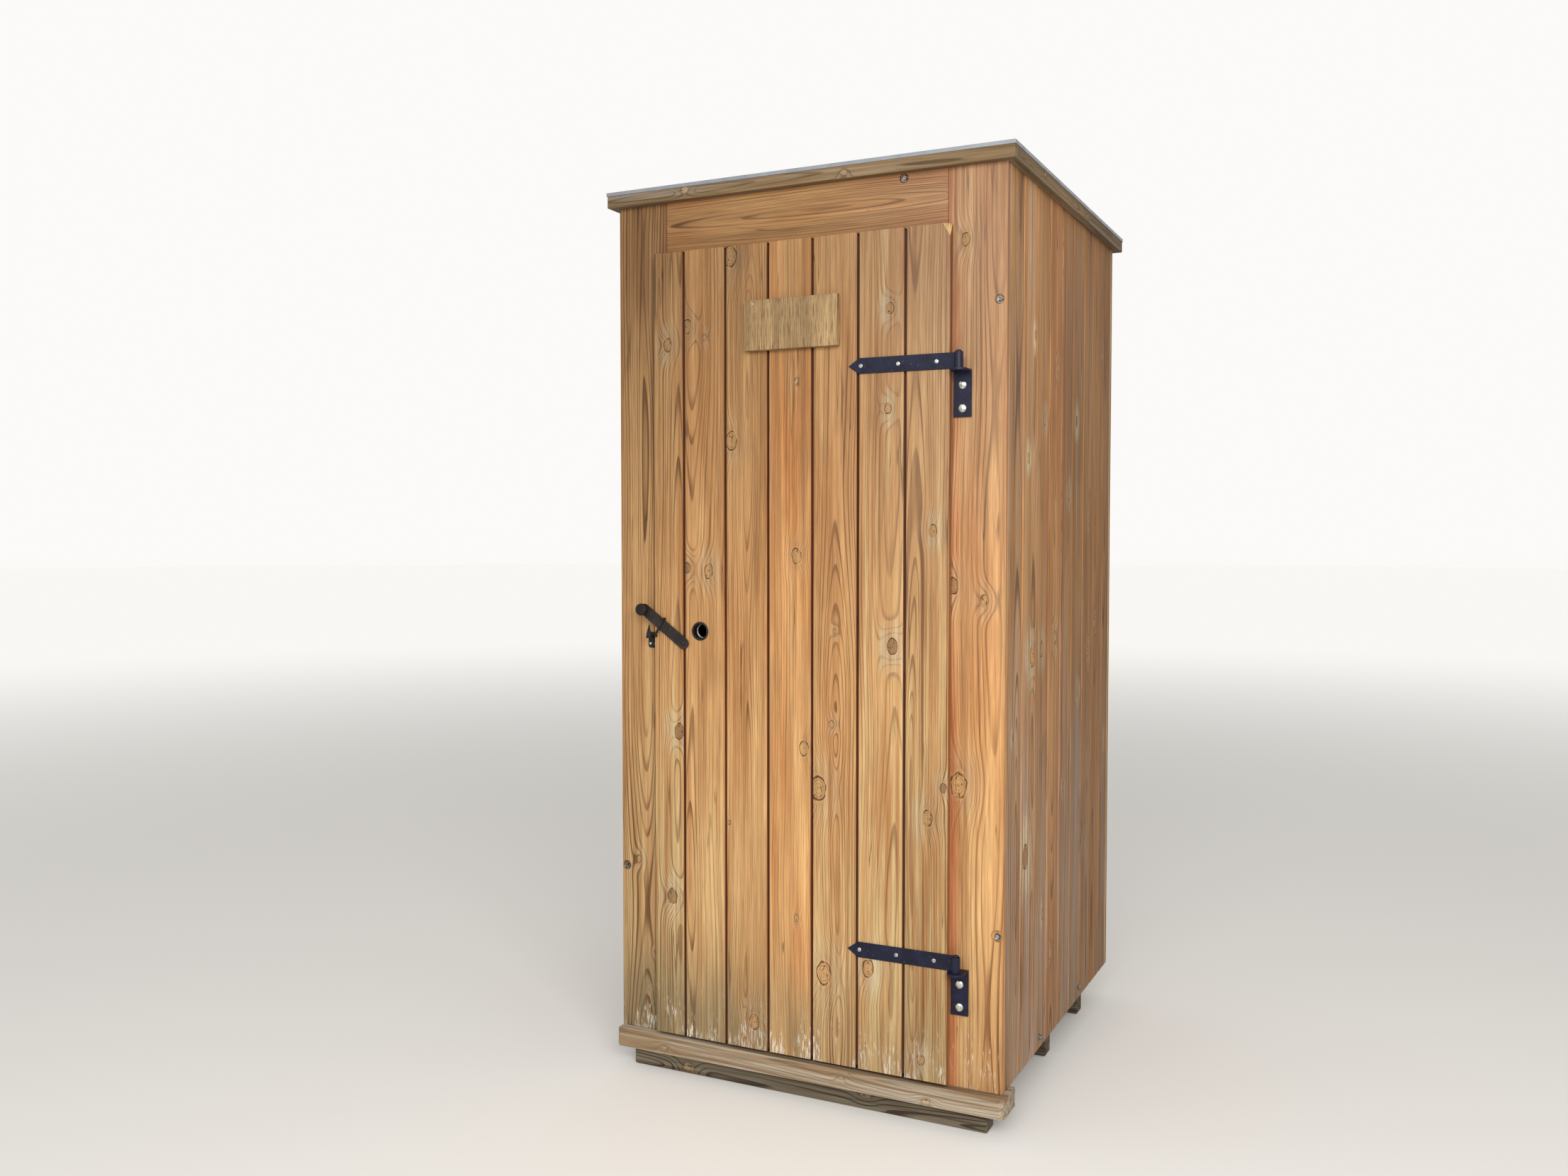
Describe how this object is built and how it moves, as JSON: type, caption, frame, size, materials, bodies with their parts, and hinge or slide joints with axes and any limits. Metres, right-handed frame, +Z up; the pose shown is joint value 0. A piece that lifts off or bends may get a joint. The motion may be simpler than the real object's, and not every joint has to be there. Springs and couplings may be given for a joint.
{
  "type": "wooden outhouse",
  "caption": "Narrow wooden outhouse of upright matched boards with a flat roof, a strap-hinged board door, a drop latch, a lined finger hole and a bare sign board.",
  "frame": {"origin": "under the middle of the middle bearer, on the ground", "axes": "+Z up, the door faces -Y, +X to the right seen from the front"},
  "size_m": [1.047, 1.1148, 2.196],
  "materials": {
    "dark_timber": "weathered, rough sawn",
    "weathered_timber": "weathered grey-brown",
    "floor_timber": "worn, unfinished",
    "frame_timber": "planed, unfinished",
    "front_board": "stained, satin",
    "header_board": "stained, satin",
    "wall_board": "stained, matte",
    "roof_board": "planed, unfinished",
    "fascia_board": "weathered stain, matte",
    "door_board": "stained, satin",
    "sign_board": "stained, satin",
    "roof_cover": "satin",
    "hinge_iron": "black powder coat, satin",
    "latch_iron": "dark powder coat, satin",
    "latch_bar_iron": "dark powder coat, satin"
  },
  "bodies": {
    "house": {"front_beam": "dark_timber", "sill": "weathered_timber", "bearer_middle": "dark_timber", "bearer_back": "dark_timber", "floor": "floor_timber", "door_post_left": "frame_timber", "door_post_right": "frame_timber", "back_post_left": "frame_timber", "back_post_right": "frame_timber", "top_plate_front": "frame_timber", "top_plate_back": "frame_timber", "top_plate_left": "frame_timber", "top_plate_right": "frame_timber", "rails_left": "frame_timber", "rails_right": "frame_timber", "rails_back": "frame_timber", "corner_board_left": "front_board", "corner_board_right": "front_board", "header_board": "header_board", "wall_left": "wall_board", "wall_right": "wall_board", "wall_back": "wall_board", "roof_deck": "roof_board", "roof_cover": "roof_cover", "fascia_front": "fascia_board", "fascia_back": "fascia_board", "fascia_left": "fascia_board", "fascia_right": "fascia_board", "pintle_lower": "hinge_iron", "pintle_upper": "hinge_iron", "latch_catch": "hinge_iron"},
    "door": {"door_boards": "door_board", "door_ledge_lower": "frame_timber", "door_ledge_upper": "frame_timber", "door_brace": "frame_timber", "strap_lower": "hinge_iron", "strap_upper": "hinge_iron", "sign_board": "sign_board", "finger_hole_lining": "latch_iron", "latch_guide": "latch_iron", "latch_pin": "latch_iron"},
    "latch": {"latch_bar": "latch_bar_iron", "latch_knob": "latch_iron"}
  },
  "joints": [
    {"name": "door_swing", "type": "hinge", "parent": "house", "child": "door", "pos_m": [0.4, -0.5518, 1.0605], "axis": [0, 0, 1], "range_deg": [0, 165]},
    {"name": "latch_turn", "type": "hinge", "parent": "door", "child": "latch", "pos_m": [-0.304, -0.542, 1.08], "axis": [0, 1, 0], "range_deg": [-12, 0]}
  ]
}
